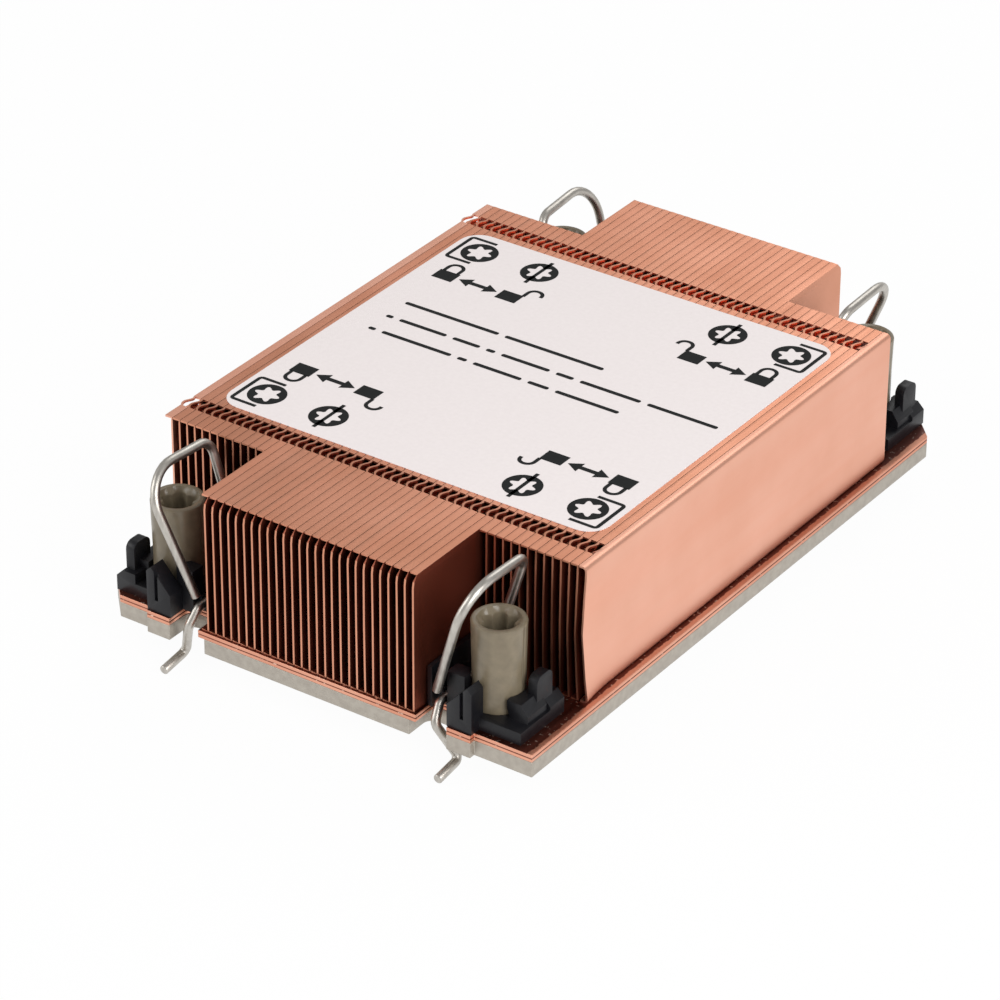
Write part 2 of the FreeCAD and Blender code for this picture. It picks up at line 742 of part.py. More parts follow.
def build():
    fill_sheet()
    pieces = {
        "base_plate": base_layer("base_plate", "0", "plate_thick", "plate_tongue_half"),
        "chamber_lower_shell": base_layer("chamber_lower_shell", "plate_thick", "shell_thick",
                                          "shell_tongue_half"),
        "chamber_upper_shell": base_layer("chamber_upper_shell", "plate_thick + shell_thick", "shell_thick",
                                          "shell_tongue_half"),
    }
    pieces.update(fin_groups())
    pieces["label"] = label_sheet("label")
    for side, y in (("front", "- nut_at_long"), ("back", "nut_at_long")):
        for hand, x in (("left", "- nut_at_wide"), ("right", "nut_at_wide")):
            pieces[f"nut_{side}_{hand}"] = nut(f"nut_{side}_{hand}", x, y)

    shared = retainer_body("retainer")
    inboard = retainer("clip_front_right", shared, "inboard_tab_at",
                       ("retainer_back - corner_block", "retainer_back"))
    outboard = retainer("retainer_outboard", shared, "- outboard_tab_at - tab_wide",
                        ("- retainer_front", "- retainer_front + corner_block"))
    pieces["clip_front_right"] = inboard
    pieces["clip_back_left"] = turned_round("clip_back_left", inboard)
    pieces["clip_front_left"] = flipped("clip_front_left", outboard, "x")
    pieces["clip_back_right"] = flipped("clip_back_right", outboard, "y")

    bail = wire_bail("bail_front_right")
    pieces["bail_front_right"] = bail
    pieces["bail_back_left"] = turned_round("bail_back_left", bail)
    pieces["bail_front_left"] = flipped("bail_front_left", bail, "x")
    pieces["bail_back_right"] = flipped("bail_back_right", bail, "y")
    document.recompute()
    return pieces


def write_parts(pieces):
    for item in document.Objects:
        if "Invalid" in item.State or "Error" in item.State:
            raise RuntimeError(item.Name + " failed")
    for name, item in pieces.items():
        item.Label = name
        if item.Shape.isNull() or not item.Shape.isValid():
            raise RuntimeError(name + " has no valid shape")
    os.makedirs("parts", exist_ok=True)
    for name, item in pieces.items():
        item.Shape.exportStep(f"parts/{name}.step")
        print(name, len(item.Shape.Solids), round(item.Shape.Volume, 1))


write_parts(build())
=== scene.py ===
# %% [markdown]
# # Passive server CPU heatsink
# A real one is a stack of folded copper fins soldered to a flat vapour chamber, with a grey
# contact plate below and a captive nut, a plastic retainer and a spring-wire bail at each corner.
# The frame gives every node's place, so each piece here starts from the frame's own boxes.
# Sizes are named in millimetres and turned into metres where a mesh is made.

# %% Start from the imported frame
import bmesh
import bpy
import json
import math
import numpy as np
from mathutils import Matrix, Vector


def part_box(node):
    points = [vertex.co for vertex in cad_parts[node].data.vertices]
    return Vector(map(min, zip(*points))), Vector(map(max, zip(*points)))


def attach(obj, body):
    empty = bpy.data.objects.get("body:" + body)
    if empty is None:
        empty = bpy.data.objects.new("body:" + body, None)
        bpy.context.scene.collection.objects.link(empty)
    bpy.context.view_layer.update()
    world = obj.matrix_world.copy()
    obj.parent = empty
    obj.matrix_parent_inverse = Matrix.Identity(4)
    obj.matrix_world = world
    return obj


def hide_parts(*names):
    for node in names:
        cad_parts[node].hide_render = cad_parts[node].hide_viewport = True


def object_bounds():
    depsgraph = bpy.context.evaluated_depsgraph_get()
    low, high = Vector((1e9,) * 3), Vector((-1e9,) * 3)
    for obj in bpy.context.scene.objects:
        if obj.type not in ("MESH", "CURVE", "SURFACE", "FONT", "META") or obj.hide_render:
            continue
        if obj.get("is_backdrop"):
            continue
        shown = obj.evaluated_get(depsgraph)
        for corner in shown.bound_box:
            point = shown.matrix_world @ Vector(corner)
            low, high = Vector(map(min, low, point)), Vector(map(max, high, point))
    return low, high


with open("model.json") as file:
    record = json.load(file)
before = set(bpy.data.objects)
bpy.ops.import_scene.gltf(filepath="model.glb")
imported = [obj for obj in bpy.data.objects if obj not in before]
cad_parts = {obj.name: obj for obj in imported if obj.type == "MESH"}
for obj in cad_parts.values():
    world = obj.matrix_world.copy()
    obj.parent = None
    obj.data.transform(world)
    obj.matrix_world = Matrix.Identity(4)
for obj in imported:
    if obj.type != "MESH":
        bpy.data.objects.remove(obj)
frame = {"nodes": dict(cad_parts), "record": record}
cad_low, cad_high = (list(corner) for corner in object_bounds())
MM = 0.001
# The rows of tabs lie this far in from the short fins' front and back ends. A slot reaches from
# its row's line to SLOT_HALF in front of it and behind it.
ROW_INSETS = (5.15, 5.55)
SLOT_HALF = 1.5
rng = np.random.default_rng(7)


def node_box(node):
    """A node's lowest and highest corners in millimetres."""
    low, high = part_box(node)
    return np.array(low) / MM, np.array(high) / MM


plate_low, plate_high = node_box("base_plate")
tongue_low, tongue_high = node_box("fins_tongue")
wing_low, wing_high = node_box("fins_right_wing")
label_low, label_high = node_box("label")
base_top = wing_low[2]
fin_top = wing_high[2]
wing_half = wing_high[1]
tongue_half = tongue_high[1]
row_places = (-wing_half + ROW_INSETS[0], wing_half - ROW_INSETS[1])
print("base", plate_high - plate_low, "fins from", base_top, "to", fin_top)

# %% [markdown]
# ## Helpers that put numbers into meshes
# A mesh is a table of points and a table of faces. Every helper works on whole arrays, so a
# shape is written once as a formula and never point by point.

# %% Mesh helpers


def add_piece(name, points, faces, material, body, smooth=True, crease=None):
    """Makes one mesh object at the origin from points in millimetres and lets it ride on a body."""
    mesh = bpy.data.meshes.new(name)
    mesh.from_pydata((np.asarray(points) * MM).tolist(), [], [list(face) for face in faces])
    mesh.polygons.foreach_set("use_smooth", np.full(len(mesh.polygons), smooth))
    piece = bpy.data.objects.new(name, mesh)
    bpy.context.scene.collection.objects.link(piece)
    if crease is not None:
        mesh.set_sharp_from_angle(angle=math.radians(crease))
    mesh.materials.append(material)
    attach(piece, body)
    return piece


def used_only(points, faces):
    """Drops the points that no face uses. The faces keep their order."""
    used, numbers = np.unique(faces, return_inverse=True)
    return points[used], numbers.reshape(faces.shape)


def thick_sheet(middle, thickness, keep):
    """A folded sheet: outer = middle + n t/2 and inner = middle - n t/2, where n = du x dv.
    A wall of quads closes it wherever a kept cell borders a dropped one."""
    along = np.gradient(middle, axis=0)
    across = np.gradient(middle, axis=1)
    normal = np.cross(along, across)
    normal /= np.linalg.norm(normal, axis=2, keepdims=True)
    rows, columns = middle.shape[:2]
    count = rows * columns
    points = np.vstack([(middle + side * normal * thickness / 2).reshape(-1, 3) for side in (1, -1)])
    number = np.arange(count).reshape(rows, columns)
    ring = (number[:-1, :-1], number[1:, :-1], number[1:, 1:], number[:-1, 1:])
    outer = np.stack(ring, -1)[keep]
    faces = [outer, outer[:, ::-1] + count]
    framed = np.pad(keep, 1)
    beside = (framed[1:-1, :-2], framed[2:, 1:-1], framed[1:-1, 2:], framed[:-2, 1:-1])
    for side, other in enumerate(beside):
        edge = keep & ~other
        first = ring[side][edge]
        second = ring[(side + 1) % 4][edge]
        faces.append(np.stack((second, first, first + count, second + count), -1))
    return used_only(points, np.vstack(faces))


def joined(shapes):
    """Several point and face tables as one, with the later faces' numbers moved on."""
    shapes = list(shapes)
    starts = np.cumsum([0] + [len(points) for points, _ in shapes[:-1]])
    points = np.vstack([points for points, _ in shapes])
    faces = [tuple(np.asarray(face) + start) for start, (_, table) in zip(starts, shapes) for face in table]
    return points, faces


def ring_faces(rows, sides):
    """Quads between rings of points, point (row, side) being row * sides + side, with two caps."""
    number = np.arange(rows * sides).reshape(rows, sides)
    turn = np.roll(number, -1, axis=1)
    quads = np.stack([number[:-1], turn[:-1], turn[1:], number[1:]], -1).reshape(-1, 4)
    return [tuple(quad) for quad in quads] + [tuple(number[0][::-1]), tuple(number[-1])]


def rounded_path(corners, radii, steps=6):
    """Straight runs with a tangent arc at each inner corner: q(t) = centre + slerp(n1, n2, t)."""
    corners = [np.asarray(corner, float) for corner in corners]
    points = [corners[0]]
    for index, radius in enumerate(radii, 1):
        corner = corners[index]
        if radius == 0:
            points.append(corner)
            continue
        back = corners[index - 1] - corner
        ahead = corners[index + 1] - corner
        back /= np.linalg.norm(back)
        ahead /= np.linalg.norm(ahead)
        half_turn = (math.pi - math.acos(np.clip(back @ ahead, -1, 1))) / 2
        inward = (back + ahead) / np.linalg.norm(back + ahead)
        centre = corner + inward * radius / math.cos(half_turn)
        start = corner + back * radius * math.tan(half_turn) - centre
        end = corner + ahead * radius * math.tan(half_turn) - centre
        share = np.linspace(0, 1, steps + 1)[:, None]
        swing = 2 * half_turn
        points += list(centre + (np.sin((1 - share) * swing) * start + np.sin(share * swing) * end)
                       / math.sin(swing))
    points.append(corners[-1])
    return np.array(points)


# %% [markdown]
# ## Finishes
# Each finish is a small node tree that reads Object coordinates, so its grain keeps its real
# size on every piece. Uniform values are set on the shader's own sockets.

# %% Material helpers


def new_material(name, colour, metallic, roughness):
    """A material whose shader has plain values, with its tree and shader to build on."""
    material = bpy.data.materials.new(name)
    material.use_nodes = True
    shader = material.node_tree.nodes["Principled BSDF"]
    shader.inputs["Base Color"].default_value = (*colour, 1)
    shader.inputs["Metallic"].default_value = metallic
    shader.inputs["Roughness"].default_value = roughness
    return material, material.node_tree, shader


def noise(tree, scale, stretch=(1, 1, 1), detail=3.0):
    """Noise on Object coordinates, stretched by a Mapping node. The scale is per metre."""
    place = tree.nodes.new("ShaderNodeTexCoord")
    mapping = tree.nodes.new("ShaderNodeMapping")
    mapping.inputs["Scale"].default_value = stretch
    texture = tree.nodes.new("ShaderNodeTexNoise")
    texture.inputs["Scale"].default_value = scale
    texture.inputs["Detail"].default_value = detail
    tree.links.new(place.outputs["Object"], mapping.inputs["Vector"])
    tree.links.new(mapping.outputs["Vector"], texture.inputs["Vector"])
    return texture.outputs["Fac"]


def ramp(tree, value, stops):
    """A colour ramp through (place, colour) stops."""
    node = tree.nodes.new("ShaderNodeValToRGB")
    elements = node.color_ramp.elements
    while len(elements) < len(stops):
        elements.new(0.5)
    for element, (place, colour) in zip(elements, stops):
        element.position = place
        element.color = (*colour, 1)
    tree.links.new(value, node.inputs["Fac"])
    return node.outputs["Color"]


def grey(level):
    """A grey colour of one level."""
    return (level, level, level)


def coordinate(tree, axis):
    """One Object coordinate, in metres."""
    place = tree.nodes.new("ShaderNodeTexCoord")
    parts = tree.nodes.new("ShaderNodeSeparateXYZ")
    tree.links.new(place.outputs["Object"], parts.inputs["Vector"])
    return parts.outputs[axis]


def facing(tree, axis):
    """How squarely the surface faces along one axis: |n . axis|, from 0 to 1."""
    surface = tree.nodes.new("ShaderNodeNewGeometry")
    parts = tree.nodes.new("ShaderNodeSeparateXYZ")
    tree.links.new(surface.outputs["Normal"], parts.inputs["Vector"])
    return sums(tree, "ABSOLUTE", parts.outputs[axis])


def sums(tree, operation, first, second=0.0):
    """One Math node. Either input may be a plain number or another node's output."""
    node = tree.nodes.new("ShaderNodeMath")
    node.operation = operation
    for socket, value in zip(node.inputs, (first, second)):
        if isinstance(value, float):
            socket.default_value = value
        else:
            tree.links.new(value, socket)
    return node.outputs[0]


def between(tree, value, low, high):
    """0 below low, 1 above high and a straight slope between, for low < high or low > high."""
    node = tree.nodes.new("ShaderNodeMapRange")
    tree.links.new(value, node.inputs["Value"])
    node.inputs["From Min"].default_value = low
    node.inputs["From Max"].default_value = high
    return node.outputs["Result"]


def blend(tree, share, first, second):
    """first where the share is 0 and second where it is 1. Either may be a plain colour."""
    node = tree.nodes.new("ShaderNodeMix")
    node.data_type = "RGBA"
    tree.links.new(share, node.inputs[0])
    for socket, value in ((node.inputs[6], first), (node.inputs[7], second)):
        if isinstance(value, tuple):
            socket.default_value = (*value, 1)
        else:
            tree.links.new(value, socket)
    return node.outputs[2]


def add_bump(tree, shader, height, strength, distance):
    """Bumps the surface by a height between 0 and 1. The distance is in metres."""
    bump = tree.nodes.new("ShaderNodeBump")
    bump.inputs["Strength"].default_value = strength
    bump.inputs["Distance"].default_value = distance
    tree.links.new(height, bump.inputs["Height"])
    tree.links.new(bump.outputs["Normal"], shader.inputs["Normal"])


# %% [markdown]
# ### Copper
# Bare copper has a warm reflection, fine rolling lines along the sheet and faint patches where
# it has begun to tarnish. Long thin noise makes the lines, and slow noise the patches. Between
# the fins light meets copper many times over and comes back a deep red, so a fin's flat sides and
# whatever lies below its top fold have a darker tone than its edges and its top.

# %% Copper
SOLDER_TONE = (0.62, 0.46, 0.38)
# The fins' bright and dull copper tones, the deep tone of their painted shade and the ember tone of their
# painted glow.
FIN_TONES = ((0.76, 0.355, 0.23), (0.67, 0.295, 0.18), (0.33, 0.085, 0.05), (0.85, 0.20, 0.10))


def copper(name, bright, dull, roughness, grain=(900, 14, 60)):
    """Copper with grain and patches. Returns the material, its tree, its shader and its colour."""
    material, tree, shader = new_material(name, bright, 1.0, roughness)
    patches = ramp(tree, noise(tree, 70, detail=4.0), [(0.35, dull), (0.65, bright)])
    tree.links.new(patches, shader.inputs["Base Color"])
    lines = noise(tree, 1.0, grain, 2.0)
    rough = ramp(tree, lines, [(0.3, grey(roughness - 0.06)), (0.7, grey(roughness + 0.1))])
    tree.links.new(rough, shader.inputs["Roughness"])
    add_bump(tree, shader, lines, strength=0.12, distance=0.00005)
    return material, tree, shader, patches


def folded_copper(name, bright, dull, deep, ember, open_side=None):
    """Fin copper: plain copper on the strips' ends and the top fold, and a painted shade in the deep tone
    elsewhere, with a painted glow in the ember tone where light reaches into the back row of tabs. An open
    side is free of the painted shade from the middle to the back."""
    material, tree, shader, patches = copper(name, bright, dull, 0.42)
    height = coordinate(tree, "Z")
    along = coordinate(tree, "Y")
    on_top = between(tree, height, (fin_top - 0.5) * MM, (fin_top - 0.25) * MM)
    fold = sums(tree, "MULTIPLY", on_top, between(tree, facing(tree, "Z"), 0.5, 0.85))
    shown = sums(tree, "MAXIMUM", fold, between(tree, facing(tree, "Y"), 0.6, 0.85))
    if open_side:
        across = coordinate(tree, "X")
        outside = between(tree, across, (open_side - 0.12) * MM, (open_side - 0.05) * MM)
        backward = between(tree, along, -10 * MM, 10 * MM)
        shown = sums(tree, "MAXIMUM", shown, sums(tree, "MULTIPLY", outside, backward))
    from_row = sums(tree, "ABSOLUTE", sums(tree, "SUBTRACT", along, row_places[1] * MM))
    near_row = between(tree, from_row, 1.8 * MM, SLOT_HALF * MM)
    near_top = between(tree, height, (fin_top - 1.2) * MM, (fin_top - 0.8) * MM)
    # Painted shade between the fins, and a painted glow of light near the top of the back row.
    painted_shade_and_glow = blend(tree, sums(tree, "MULTIPLY", near_row, near_top), deep, ember)
    tree.links.new(blend(tree, shown, painted_shade_and_glow, patches), shader.inputs["Base Color"])
    return material


def sheet_copper(name, bright, dull, seam, deep):
    """Chamber copper: a dark brazed seam at one height, and in from the edges a deep tone with
    specks of solder."""
    material, tree, shader, patches = copper(name, bright, dull, 0.38)
    off_seam = sums(tree, "ABSOLUTE", sums(tree, "SUBTRACT", coordinate(tree, "Z"), seam * MM))
    clear = between(tree, off_seam, 0.05 * MM, 0.13 * MM)
    side = sums(tree, "ABSOLUTE", coordinate(tree, "X"))
    ragged = sums(tree, "ADD", side, sums(tree, "MULTIPLY", noise(tree, 900), 0.6 * MM))
    rim = between(tree, ragged, (plate_high[0] - 0.55) * MM, (plate_high[0] - 0.4) * MM)
    upright = between(tree, facing(tree, "Z"), 0.8, 0.5)
    shown = sums(tree, "MULTIPLY", clear, sums(tree, "MAXIMUM", rim, upright))
    solder = ramp(tree, noise(tree, 1600, detail=2.0), [(0.62, deep), (0.68, SOLDER_TONE)])
    tree.links.new(blend(tree, shown, solder, patches), shader.inputs["Base Color"])
    return material


fin_copper = folded_copper("fin_copper", *FIN_TONES)
tongue_copper = folded_copper("tongue_copper", *FIN_TONES, open_side=tongue_high[0])
side_copper = copper("side_copper", (0.90, 0.49, 0.36), (0.85, 0.44, 0.31), 0.44, (40, 14, 300))[0]
shell_middle = node_box("chamber_upper_shell")[0][2]
shell_copper = sheet_copper("shell_copper", (0.84, 0.42, 0.29), (0.72, 0.32, 0.21), shell_middle,
                            (0.16, 0.045, 0.03))

# %% [markdown]
# ### Contact plate, nuts, plastic, wire and paper
# The plate is a satin grey metal with fine pits. The nuts are a beige glass-filled polymer, the
# retainers a black one. The bails are drawn stainless wire, and the label is coated paper.

# %% Other finishes


def speckled(name, light, dark, metallic, roughness, scale, bump, stretch=(1, 1, 1), gloss=0.5):
    """A finish whose colour wanders between two tones and whose surface has small pits. The bump
    is in metres."""
    material, tree, shader = new_material(name, light, metallic, roughness)
    shader.inputs["Specular IOR Level"].default_value = gloss
    spots = noise(tree, scale, stretch, 5.0)
    tree.links.new(ramp(tree, spots, [(0.3, dark), (0.7, light)]), shader.inputs["Base Color"])
    add_bump(tree, shader, spots, 0.25, bump)
    return material


plate_metal = speckled("plate_metal", (0.50, 0.46, 0.40), (0.42, 0.38, 0.33), 0.85, 0.50, 900, 0.00004)
nut_polymer = speckled("nut_polymer", (0.205, 0.168, 0.112), (0.16, 0.13, 0.087), 0.0, 0.30, 700, 0.00003)
black_plastic = speckled("black_plastic", (0.008, 0.008, 0.010), (0.005, 0.005, 0.007), 0.0, 0.42, 1200,
                         0.00003, gloss=0.35)
wire_steel = speckled("wire_steel", (0.60, 0.57, 0.52), (0.45, 0.42, 0.38), 1.0, 0.38, 500, 0.00002,
                      stretch=(4, 1, 1))
label_paper = speckled("label_paper", (0.90, 0.83, 0.82), (0.87, 0.80, 0.79), 0.0, 0.55, 1500, 0.00001)
label_ink = speckled("label_ink", (0.007, 0.008, 0.008), (0.004, 0.005, 0.005), 0.0, 0.8, 1500, 0.00001,
                     gloss=0.3)

# %% [markdown]
# ## The folded fins
# Each fin is one strip of sheet folded into a C. Its top fold reaches to the next fin and so
# closes the block's top, and its foot is soldered down. Two rows of slots lock the fins: a tab
# from each fin crosses the fold of its left neighbour and hooks down behind it.
# A strip is a grid: one direction follows the fold's profile, the other runs along the fin. Cells
# are left out for the slots and beside the tabs, and the sheet is given its thickness.

# %% Fin sizes
FIN_COUNT = 53
# Each wing's fins with its end fin.
WING_COUNT = 13
FIN_THICK = 0.3
FIN_SEAM = 0.07
FOLD_ROUND = 0.15
END_FOLD_ROUND = 0.7
# The long fins are this much longer than their top folds at each end.
FOLD_SHORT = 1.7
SLOT_WIDE = 1.0
SLOT_DEEP = 0.95
TAB_HALF = 0.9
TAB_REACH = 0.62
TAB_DROP = 0.9
HOOK_ROUND = 0.25
# What the lancing tool leaves: how far a tab sags in the front row and in the back row, how far
# a slot's edges wave and how far its lips rise.
TAB_SAG = (0.34, 0.12)
ROW_SLANT = 0.3
LIP_RISE = 0.16
# How far the fins bow and their ends sway, each as a standard deviation.
BOW_SPREAD = 0.035
SWAY_SPREAD = 0.03
# The knock at the front-right corner: where it starts, and how far it presses and splays.
KNOCK_FROM = 34
KNOCK_PRESS = 0.55
KNOCK_SPLAY = 0.5
fin_first = node_box("end_fin_right")[1][0]
fin_pitch = (fin_first - tongue_high[0]) / WING_COUNT
print("fin pitch", round(fin_pitch, 3))


# %% One fin


def fin_profile(bend, with_tab):
    """The fold's middle line in XZ from the tab's hook, over the top and down to the foot, with
    spare corners on the straight run so that it can bow."""
    half = FIN_THICK / 2
    top = fin_top - half
    left = -fin_pitch + FIN_SEAM
    corners = []
    radii = []
    if with_tab:
        end = -fin_pitch - TAB_REACH + half
        corners = [(end, fin_top - TAB_DROP), (end, top)]
        radii = [HOOK_ROUND]
    corners += [(left, top), (-SLOT_WIDE, top), (-half, top), (-half, fin_top - SLOT_DEEP)]
    radii += ([0] if with_tab else []) + [0, bend - half, 0]
    for level in (fin_top - 1.9, fin_top - 5, (fin_top + base_top) / 2, base_top + 4):
        corners.append((-half, level))
        radii.append(0)
    corners += [(-half, base_top + half), (left, base_top + half)]
    radii += [bend - half]
    return rounded_path(corners, radii, 4)


def along_fin(half_long):
    """Stations along a fin: its ends, every slot and tab edge, and even steps between."""
    edges = [row + side * half for row in row_places for half in (SLOT_HALF, 1.2, TAB_HALF, 0.45)
             for side in (-1, 1)] + list(row_places)
    inner = np.linspace(-30, 30, 9)
    ends = [side * (half_long - step) for side in (-1, 1) for step in (0, 0.6, 2.0)]
    return np.unique(np.round(edges + list(inner) + ends, 4))


def fin_cells(profile, stations, with_tab, with_slots):
    """Which grid cells exist: none in a slot, and beside the top only the tab's own width."""
    across = (profile[1:] + profile[:-1]) / 2
    along = (stations[1:] + stations[:-1]) / 2
    from_row = np.min([np.abs(along - row) for row in row_places], axis=0)
    in_slot = (across[:, 0] > -SLOT_WIDE) & (across[:, 1] > fin_top - SLOT_DEEP)
    in_tab = (across[:, 0] < -fin_pitch + FIN_SEAM) & (across[:, 1] > (fin_top + base_top) / 2)
    keep = np.ones((len(across), len(along)), bool)
    if with_slots:
        keep &= ~(in_slot[:, None] & (from_row < SLOT_HALF)[None, :])
    if with_tab:
        keep &= ~(in_tab[:, None] & (from_row > TAB_HALF)[None, :])
    return keep


def row_twist(x, y, level, with_slots):
    """What the lancing tool leaves in a row: (dx, dz). With u = (y - row) / SLOT_HALF the edges wave
    by dx = a sin(pi u), the lips rise by b cos(pi u / 2) and the tab sags by c (1 - u^2)."""
    u = np.stack([(y - row) / SLOT_HALF for row in row_places])
    front = np.abs(u[0]) < np.abs(u[1])
    u = np.where(front, u[0], u[1])
    in_tab = x < -fin_pitch + FIN_SEAM
    touched = (np.abs(u) < 1) & (in_tab | with_slots)
    fade = touched * np.clip((level - fin_top + 1.2) / 0.6, 0, 1)
    rise = np.where(in_tab, -np.where(front, *TAB_SAG) * (1 - u ** 2), LIP_RISE * np.cos(u * math.pi / 2))
    return ROW_SLANT * np.sin(math.pi * u) * fade, rise * fade


def corner_knock(index, y, share):
    """The knock at the block's front-right corner, as a shift in X that fades from fin to fin:
    the edge is pressed in at mid-height and its foot is splayed out."""
    reach = np.clip((-y - KNOCK_FROM) / (wing_half - KNOCK_FROM), 0, 1) ** 2
    splayed = KNOCK_SPLAY * np.clip(1 - share * 3.5, 0, 1)
    pressed = KNOCK_PRESS * np.sin(math.pi * share) ** 2
    return reach * math.exp(-index / 2) * (splayed - pressed)


def fin(index, half_long, fold_half, bend, with_tab=True, with_slots=True):
    """One fin's thick sheet: (x, z) from the profile, y from the stations, bowed a little by
    dx = b sin(pi h) sin(y / 7 + c), where h is the share of the height. Where the strip is longer
    than its top fold, its end is drawn in by a quarter-round corner."""
    profile = fin_profile(bend, with_tab)
    stations = along_fin(half_long)
    keep = fin_cells(profile, stations, with_tab, with_slots)
    level = profile[:, 1][:, None]
    corner = max(half_long - fold_half, 0)
    rise = np.clip(level - (fin_top - corner), 0, corner)
    drawn = corner - np.sqrt(np.maximum(corner ** 2 - rise ** 2, 0))
    free = np.clip((np.abs(stations) - 45) / (half_long - 45), 0, 1) if corner else 0 * stations
    y = stations[None, :] - np.sign(stations)[None, :] * free[None, :] * drawn
    share = np.clip((level - base_top) / (fin_top - base_top), 0, 1)
    belly = np.sin(math.pi * share)
    bow = rng.normal(0, BOW_SPREAD, 2)
    sway = rng.normal(0, SWAY_SPREAD, 2)
    wave = np.sin(stations / 7 + 9 * bow[1])
    ends = np.abs(stations / half_long) ** 3
    x = profile[:, 0][:, None] + (bow[0] * belly * wave[None, :])
    x = x + belly * ends[None, :] * np.where(stations < 0, sway[0], sway[1])[None, :]
    slant, rise = row_twist(profile[:, 0][:, None], y, level, with_slots)
    x = x + slant + corner_knock(index, y, share)
    middle = np.stack([x + fin_first - index * fin_pitch, y, level + rise], -1)
    return thick_sheet(middle, FIN_THICK, keep)


# %% The fin groups


def fin_group(name, first, last, half_long, fold_half, material):
    """All fins from the first to the last, counted from the right, as one piece in a node's place."""
    shapes = [fin(index, half_long, fold_half, FOLD_ROUND) for index in range(first, last + 1)]
    points, faces = joined(shapes)
    piece = add_piece(name + "_folded", points, faces, material, "heatsink", smooth=False)
    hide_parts(name)
    print(name, len(shapes), "fins,", len(faces), "faces")


last_fin = FIN_COUNT - 1
fin_group("fins_tongue", WING_COUNT, last_fin - WING_COUNT, tongue_half, tongue_half - FOLD_SHORT,
          tongue_copper)
fin_group("fins_right_wing", 1, WING_COUNT - 1, wing_half, wing_half, fin_copper)
fin_group("fins_left_wing", last_fin - WING_COUNT + 1, last_fin - 1, wing_half, wing_half, fin_copper)

# The right end fin has no right neighbour and so no slots. The left one has no tabs.
END_FINS = (("end_fin_right", 0, END_FOLD_ROUND, True, False),
            ("end_fin_left", last_fin, FOLD_ROUND, False, True))
for name, index, bend, with_tab, with_slots in END_FINS:
    points, faces = fin(index, wing_half, wing_half, bend, with_tab, with_slots)
    side_sheet = add_piece(name + "_folded", points, faces, side_copper, "heatsink", crease=40)
    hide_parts(name)

# %% [markdown]
# ## The base
# The plate and the chamber's two sheets are flat, so their CAD solids are right. A copy of each
# is merged, its flat triangles are dissolved and a small bevel softens the edges, which is what
# makes stamped sheet catch the light.

# %% Softened copies of the flat and moulded nodes


def softened(node, material, edge):
    """A merged copy of a CAD node with rounded edges. The edge is the bevel's width in millimetres."""
    mesh = frame["nodes"][node].data.copy()
    piece = bpy.data.objects.new(node + "_finished", mesh)
    bpy.context.scene.collection.objects.link(piece)
    cells = bmesh.new()
    cells.from_mesh(mesh)
    bmesh.ops.remove_doubles(cells, verts=cells.verts, dist=1e-6)
    bmesh.ops.dissolve_limit(cells, angle_limit=math.radians(1), verts=cells.verts, edges=cells.edges)
    cells.to_mesh(mesh)
    cells.free()
    mesh.polygons.foreach_set("use_smooth", np.full(len(mesh.polygons), True))
    mesh.materials.clear()
    mesh.materials.append(material)
    bevel = piece.modifiers.new("edges", "BEVEL")
    bevel.width = edge * MM
    bevel.segments = 2
    bevel.limit_method = "ANGLE"
    bevel.angle_limit = math.radians(30)
    bevel.harden_normals = True
    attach(piece, "heatsink")
    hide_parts(node)


softened("base_plate", plate_metal, 0.18)
softened("chamber_lower_shell", shell_copper, 0.1)
softened("chamber_upper_shell", shell_copper, 0.1)

sides = (("front", -1), ("back", 1))
hands = (("left", -1), ("right", 1))
corners = [(f"{side}_{hand}", x, y) for side, y in sides for hand, x in hands]
for corner, _, _ in corners:
    softened("clip_" + corner, black_plastic, 0.13)

# %% [markdown]
# ## The wire bails
# A bail is one length of spring wire: a loop that leans outward over the nut, a straight journal
# in the retainer's seat and a hook that reaches below the base. It is a circle carried along a
# path of straight runs and arcs, on a frame that never twists about the wire.

# %% Bail sizes and path
WIRE_RADIUS = 0.7
END_DOME = 0.3
BAIL_LEAN = math.radians(19.5)
# The handle lies this far off the line through the hinge.
HANDLE_OUT = -0.82
BEND_RADII = (5.2, 2.4, 0.95, 0.95, 1.6, 0.95)
BEND_STEPS = 10
hinges = {joint["name"]: joint for joint in frame["record"]["behaviour"]["joints"]}


def bail_corners(hinge_x, hinge_z):
    """The front-right bail's corners. With lean t, a handle corner at (o, a) from the hinge is
    (o cos t + a sin t, a cos t - o sin t) in XZ, and the hook's corners are plain offsets."""
    def handle(out, along, y):
        """One corner of the leaning handle."""
        return (hinge_x + out * math.cos(BAIL_LEAN) + along * math.sin(BAIL_LEAN), -y,
                hinge_z + along * math.cos(BAIL_LEAN) - out * math.sin(BAIL_LEAN))

    return [handle(HANDLE_OUT, 2.0, 54.1), handle(HANDLE_OUT, 22.17, 56.9), handle(HANDLE_OUT, 21.2, 41.9),
            handle(0, 0, 41.9), (hinge_x, -53.6, hinge_z), (hinge_x + 0.45, -55.4, hinge_z - 2.6),
            (hinge_x + 2.94, -53.0, hinge_z - 8.6), (hinge_x + 2.94, -58.2, hinge_z - 9.3)]


